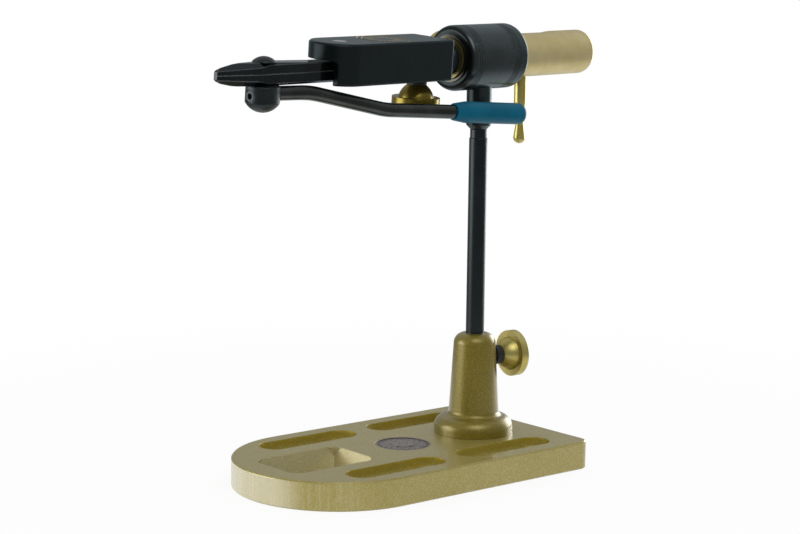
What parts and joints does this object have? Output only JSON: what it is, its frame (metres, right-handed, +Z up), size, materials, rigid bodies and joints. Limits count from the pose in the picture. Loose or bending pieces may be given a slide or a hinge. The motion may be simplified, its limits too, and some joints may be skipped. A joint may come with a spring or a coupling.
{
  "type": "rotary fly tying vise",
  "caption": "Pedestal rotary fly tying vise: tray base, flared post and stem, bearing barrel with brass tail and crank, pivoting jaw arm with cam lever.",
  "frame": {"origin": "on the table plane under the plate, on the stem's axis", "axes": "+Z up along the stem, +X along the plate away from its round front, +Y away from the side that the lever is parked on"},
  "size_m": [0.2615, 0.1056, 0.2285],
  "materials": {
    "plate_coat": "champagne bronze coating over steel, fine speckle",
    "medal_metal": "satin grey",
    "dark_steel": "black oxide, half gloss",
    "black_coat": "black, matte",
    "bearing_steel": "polished",
    "polished_brass": "polished",
    "satin_brass": "satin turned",
    "seal_rubber": "matte black",
    "grip_vinyl": "satin blue"
  },
  "bodies": {
    "base": {"base_plate": "plate_coat", "base_medallion": "medal_metal", "stem_post": "plate_coat", "post_bolts": "dark_steel"},
    "stem_lock_seal": {"stem_lock_ring": "seal_rubber"},
    "stem_lock": {"stem_lock_knob": "polished_brass"},
    "stem": {"stem_rod": "dark_steel"},
    "housing": {"spindle_housing": "black_coat", "bearing_outer_rings": "bearing_steel", "bearing_balls": "bearing_steel"},
    "spin_lock_seal": {"spin_lock_ring": "seal_rubber"},
    "spin_lock": {"spin_lock_knob": "polished_brass"},
    "head": {"spindle_shaft": "dark_steel", "bearing_inner_rings": "bearing_steel", "spindle_collar": "satin_brass", "tail_sleeve": "satin_brass", "sleeve_screw": "dark_steel", "crank_lever": "polished_brass", "head_block": "black_coat", "nose_plug": "bearing_steel"},
    "angle_lock_seal": {"angle_lock_ring": "seal_rubber"},
    "angle_lock": {"angle_lock_knob": "polished_brass"},
    "jaw_arm": {"jaw_lower": "dark_steel", "jaw_hinge_pin": "bearing_steel"},
    "jaw_top": {"jaw_upper": "dark_steel"},
    "clamp": {"clamp_bolt": "dark_steel"},
    "lever": {"cam_barrel": "dark_steel", "cam_set_screw": "dark_steel", "lever_rod": "dark_steel", "lever_grip": "grip_vinyl"}
  },
  "joints": [
    {"name": "stem_height", "type": "slide", "parent": "base", "child": "stem", "axis": [0, 0, 1], "range_m": [0, 0.024]},
    {"name": "head_swivel", "type": "hinge", "parent": "stem", "child": "housing", "pos_m": [0, 0, 0.18], "axis": [0, 0, 1], "continuous": true},
    {"name": "head_rotation", "type": "hinge", "parent": "housing", "child": "head", "pos_m": [0, 0, 0.21175], "axis": [0.9933, 0.116, 0], "range_deg": [-290, 24]},
    {"name": "jaw_angle", "type": "hinge", "parent": "head", "child": "jaw_arm", "pos_m": [-0.04599, -0.00537, 0.21175], "axis": [0.0081, -0.0693, 0.9976], "range_deg": [-90, 0]},
    {"name": "lever_turn", "type": "hinge", "parent": "jaw_arm", "child": "lever", "pos_m": [-0.15037, -0.01673, 0.19998], "axis": [-0.0081, 0.0693, -0.9976], "range_deg": [0, 75]},
    {"name": "jaw_opening", "type": "hinge", "parent": "jaw_arm", "child": "jaw_top", "pos_m": [-0.09138, -0.01067, 0.21175], "axis": [-0.1157, 0.9908, 0.0698], "range_deg": [0, 1.2]},
    {"name": "clamp_rise", "type": "slide", "parent": "jaw_arm", "child": "clamp", "axis": [0.0081, -0.0693, 0.9976], "range_m": [0, 0.0015]},
    {"name": "stem_lock_feed", "type": "slide", "parent": "base", "child": "stem_lock_seal", "axis": [0.9938, -0.1115, 0], "range_m": [0, 0.001]},
    {"name": "stem_lock_turn", "type": "hinge", "parent": "stem_lock_seal", "child": "stem_lock", "pos_m": [0, 0, 0.0542], "axis": [0.9938, -0.1115, 0], "range_deg": [0, 360]},
    {"name": "spin_lock_feed", "type": "slide", "parent": "housing", "child": "spin_lock_seal", "axis": [-0.116, 0.9933, 0], "range_m": [0, 0.001]},
    {"name": "spin_lock_turn", "type": "hinge", "parent": "spin_lock_seal", "child": "spin_lock", "pos_m": [-0.00176, 0.0151, 0.21175], "axis": [-0.116, 0.9933, 0], "range_deg": [0, 360]},
    {"name": "angle_lock_feed", "type": "slide", "parent": "head", "child": "angle_lock_seal", "axis": [-0.0081, 0.0693, -0.9976], "range_m": [0, 0.001]},
    {"name": "angle_lock_turn", "type": "hinge", "parent": "angle_lock_seal", "child": "angle_lock", "pos_m": [-0.04607, -0.00466, 0.20157], "axis": [-0.0081, 0.0693, -0.9976], "range_deg": [0, 360]}
  ],
  "couplings": [
    {"joint": "jaw_opening", "follows": "lever_turn", "ratio": 0.016},
    {"joint": "clamp_rise", "follows": "lever_turn", "m_per_rad": 0.0011459},
    {"joint": "stem_lock_turn", "follows": "stem_lock_feed", "rad_per_m": 6283.1},
    {"joint": "spin_lock_turn", "follows": "spin_lock_feed", "rad_per_m": 6283.1},
    {"joint": "angle_lock_turn", "follows": "angle_lock_feed", "rad_per_m": 6283.1}
  ]
}
